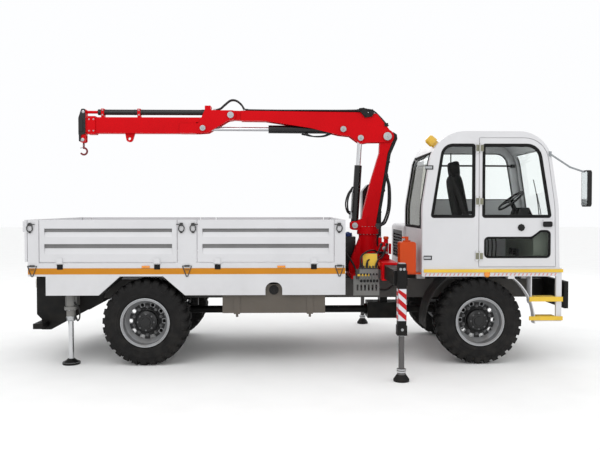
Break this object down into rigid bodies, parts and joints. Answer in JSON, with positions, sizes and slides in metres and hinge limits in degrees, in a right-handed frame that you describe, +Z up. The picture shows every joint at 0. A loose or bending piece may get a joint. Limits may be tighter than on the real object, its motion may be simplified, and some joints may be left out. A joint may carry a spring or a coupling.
{
  "type": "mobile crane",
  "caption": "Off-road utility truck with a side cab, a dropside bed and a knuckle-boom loader crane behind the cab, standing on drawn-out outriggers.",
  "frame": {"origin": "on the ground, at the middle of the bounding box", "axes": "+X forward along the vehicle, +Y to the vehicle's left, +Z up"},
  "size_m": [6.93, 4.037, 3.371],
  "materials": {
    "frame_grey": "satin grey-brown paint",
    "axle_black": "satin black paint",
    "engine_grey": "cast",
    "tank_grey": "satin grey-brown paint",
    "body_white": "gloss white paint",
    "guard_black": "satin black paint",
    "jack_grey": "satin grey paint",
    "window_glass": "clear",
    "seat_black": "woven cloth",
    "dash_grey": "grained",
    "step_yellow": "satin yellow paint",
    "mudguard_black": "moulded",
    "grille_dark": "satin dark grey",
    "lamp_lens": "clear lens",
    "beacon_amber": "amber lens",
    "mirror_black": "grained",
    "crane_red": "gloss red paint",
    "control_grey": "satin grey paint",
    "oil_tank_dark": "satin dark paint",
    "bottle_orange": "gloss orange paint",
    "tyre_rubber": "moulded",
    "rim_grey": "silver-grey paint",
    "barrel_black": "gloss black paint",
    "rod_chrome": "hard chrome",
    "hook_red": "dark red paint",
    "outrigger_black": "satin black paint",
    "leg_grey": "ground steel"
  },
  "bodies": {
    "chassis": {"frame": "frame_grey", "front_axle": "axle_black", "rear_axle": "axle_black", "driveline": "axle_black", "engine": "engine_grey", "tanks": "tank_grey", "bed": "body_white", "rear_guard": "guard_black", "rear_jack_bodies": "jack_grey", "cab_base": "body_white", "cab_shell": "body_white", "cab_glass": "window_glass", "seat": "seat_black", "dashboard": "dash_grey", "step_frame": "body_white", "step_treads": "step_yellow", "mudguards": "mudguard_black", "hood": "body_white", "hood_grilles": "grille_dark", "front_bumper": "guard_black", "lamps": "lamp_lens", "beacon": "beacon_amber", "mirrors": "mirror_black", "crane_base": "crane_red", "crane_controls": "control_grey", "oil_tank": "oil_tank_dark", "extinguisher": "bottle_orange"},
    "door": {"door": "body_white", "door_glass": "window_glass"},
    "knuckle_left": {"knuckle_left": "axle_black"},
    "knuckle_right": {"knuckle_right": "axle_black"},
    "wheel_front_left": {"tyre_front_left": "tyre_rubber", "rim_front_left": "rim_grey"},
    "wheel_front_right": {"tyre_front_right": "tyre_rubber", "rim_front_right": "rim_grey"},
    "wheel_rear_left": {"tyre_rear_left": "tyre_rubber", "rim_rear_left": "rim_grey"},
    "wheel_rear_right": {"tyre_rear_right": "tyre_rubber", "rim_rear_right": "rim_grey"},
    "dropside_rear_left": {"dropside_rear_left": "body_white"},
    "dropside_rear_right": {"dropside_rear_right": "body_white"},
    "dropside_front_left": {"dropside_front_left": "body_white"},
    "dropside_front_right": {"dropside_front_right": "body_white"},
    "tailgate": {"tailgate": "body_white"},
    "crane_column": {"crane_column": "crane_red"},
    "inner_boom": {"inner_boom": "crane_red"},
    "outer_boom": {"outer_boom": "crane_red"},
    "boom_extension": {"boom_extension": "crane_red"},
    "hook": {"hook": "hook_red"},
    "lift_barrel": {"lift_barrel": "barrel_black"},
    "lift_rod": {"lift_rod": "rod_chrome"},
    "fold_barrel": {"fold_barrel": "barrel_black"},
    "fold_rod": {"fold_rod": "rod_chrome"},
    "outrigger_beam_left": {"outrigger_beam_left": "outrigger_black"},
    "outrigger_beam_right": {"outrigger_beam_right": "outrigger_black"},
    "outrigger_leg_left": {"outrigger_leg_left": "leg_grey"},
    "outrigger_leg_right": {"outrigger_leg_right": "leg_grey"},
    "jack_left": {"jack_left": "rod_chrome"},
    "jack_right": {"jack_right": "rod_chrome"}
  },
  "joints": [
    {"name": "steer_left", "type": "hinge", "parent": "chassis", "child": "knuckle_left", "pos_m": [2.18, 0.82, 0.536], "axis": [0, 0, 1], "range_deg": [-28, 28]},
    {"name": "steer_right", "type": "hinge", "parent": "chassis", "child": "knuckle_right", "pos_m": [2.18, -0.82, 0.536], "axis": [0, 0, 1], "range_deg": [-28, 28]},
    {"name": "spin_front_left", "type": "hinge", "parent": "knuckle_left", "child": "wheel_front_left", "pos_m": [2.18, 0.9575, 0.536], "axis": [0, 1, 0], "continuous": true},
    {"name": "spin_rear_left", "type": "hinge", "parent": "chassis", "child": "wheel_rear_left", "pos_m": [-1.985, 0.9575, 0.536], "axis": [0, 1, 0], "continuous": true},
    {"name": "spin_front_right", "type": "hinge", "parent": "knuckle_right", "child": "wheel_front_right", "pos_m": [2.18, -0.9575, 0.536], "axis": [0, 1, 0], "continuous": true},
    {"name": "spin_rear_right", "type": "hinge", "parent": "chassis", "child": "wheel_rear_right", "pos_m": [-1.985, -0.9575, 0.536], "axis": [0, 1, 0], "continuous": true},
    {"name": "door_swing", "type": "hinge", "parent": "chassis", "child": "door", "pos_m": [2.151, -1.16, 2], "axis": [0, 0, -1], "range_deg": [0, 80]},
    {"name": "dropside_rear_left_drop", "type": "hinge", "parent": "chassis", "child": "dropside_rear_left", "pos_m": [-2.43, 1.18, 1.281], "axis": [-1, 0, 0], "range_deg": [0, 175]},
    {"name": "dropside_rear_right_drop", "type": "hinge", "parent": "chassis", "child": "dropside_rear_right", "pos_m": [-2.43, -1.18, 1.281], "axis": [1, 0, 0], "range_deg": [0, 175]},
    {"name": "dropside_front_left_drop", "type": "hinge", "parent": "chassis", "child": "dropside_front_left", "pos_m": [-0.5, 1.18, 1.281], "axis": [-1, 0, 0], "range_deg": [0, 175]},
    {"name": "dropside_front_right_drop", "type": "hinge", "parent": "chassis", "child": "dropside_front_right", "pos_m": [-0.5, -1.18, 1.281], "axis": [1, 0, 0], "range_deg": [0, 175]},
    {"name": "tailgate_drop", "type": "hinge", "parent": "chassis", "child": "tailgate", "pos_m": [-3.455, 0, 1.281], "axis": [0, -1, 0], "range_deg": [0, 175]},
    {"name": "slew", "type": "hinge", "parent": "chassis", "child": "crane_column", "pos_m": [0.909, 0, 1.635], "axis": [0, 0, 1], "range_deg": [-90, 270]},
    {"name": "luff", "type": "hinge", "parent": "crane_column", "child": "inner_boom", "pos_m": [1.17, 0, 2.951], "axis": [0, 1, 0], "range_deg": [-15, 65]},
    {"name": "knuckle_fold", "type": "hinge", "parent": "inner_boom", "child": "outer_boom", "pos_m": [-1.00663, 0, 3.242], "axis": [0, -1, 0], "range_deg": [-10, 50]},
    {"name": "boom_extend", "type": "slide", "parent": "outer_boom", "child": "boom_extension", "axis": [-1, 0, 0], "range_m": [0, 1.2]},
    {"name": "hook_swing", "type": "hinge", "parent": "boom_extension", "child": "hook", "pos_m": [-3.05263, 0, 2.9], "axis": [0, 1, 0], "range_deg": [-80, 80]},
    {"name": "lift_barrel_tilt", "type": "hinge", "parent": "crane_column", "child": "lift_barrel", "pos_m": [0.721, 0, 1.712], "axis": [0, 1, 0], "range_deg": [-2.02, 5.44]},
    {"name": "lift_rod_stroke", "type": "slide", "parent": "lift_barrel", "child": "lift_rod", "axis": [0.0631, 0, 0.998], "range_m": [-0.0956, 0.3978]},
    {"name": "fold_barrel_tilt", "type": "hinge", "parent": "inner_boom", "child": "fold_barrel", "pos_m": [0.556, 0, 3.051], "axis": [0, -1, 0], "range_deg": [-2.69, 9.43]},
    {"name": "fold_rod_stroke", "type": "slide", "parent": "fold_barrel", "child": "fold_rod", "axis": [-1, 0, 0.0051], "range_m": [-0.2434, 0.0527]},
    {"name": "outrigger_left_draw", "type": "slide", "parent": "chassis", "child": "outrigger_beam_left", "axis": [0, -1, 0], "range_m": [0, 0.75]},
    {"name": "outrigger_left_lift", "type": "slide", "parent": "outrigger_beam_left", "child": "outrigger_leg_left", "axis": [0, 0, 1], "range_m": [0, 0.37]},
    {"name": "jack_left_lift", "type": "slide", "parent": "chassis", "child": "jack_left", "axis": [0, 0, 1], "range_m": [0, 0.22]},
    {"name": "outrigger_right_draw", "type": "slide", "parent": "chassis", "child": "outrigger_beam_right", "axis": [0, 1, 0], "range_m": [0, 0.75]},
    {"name": "outrigger_right_lift", "type": "slide", "parent": "outrigger_beam_right", "child": "outrigger_leg_right", "axis": [0, 0, 1], "range_m": [0, 0.37]},
    {"name": "jack_right_lift", "type": "slide", "parent": "chassis", "child": "jack_right", "axis": [0, 0, 1], "range_m": [0, 0.22]}
  ],
  "couplings": [
    {"joint": "steer_right", "follows": "steer_left", "ratio": 1},
    {"joint": "lift_barrel_tilt", "follows": "luff", "ratio": 0.06825},
    {"joint": "lift_rod_stroke", "follows": "luff", "m_per_rad": 0.34621},
    {"joint": "fold_barrel_tilt", "follows": "knuckle_fold", "ratio": 0.16862},
    {"joint": "fold_rod_stroke", "follows": "knuckle_fold", "m_per_rad": -0.27319}
  ]
}
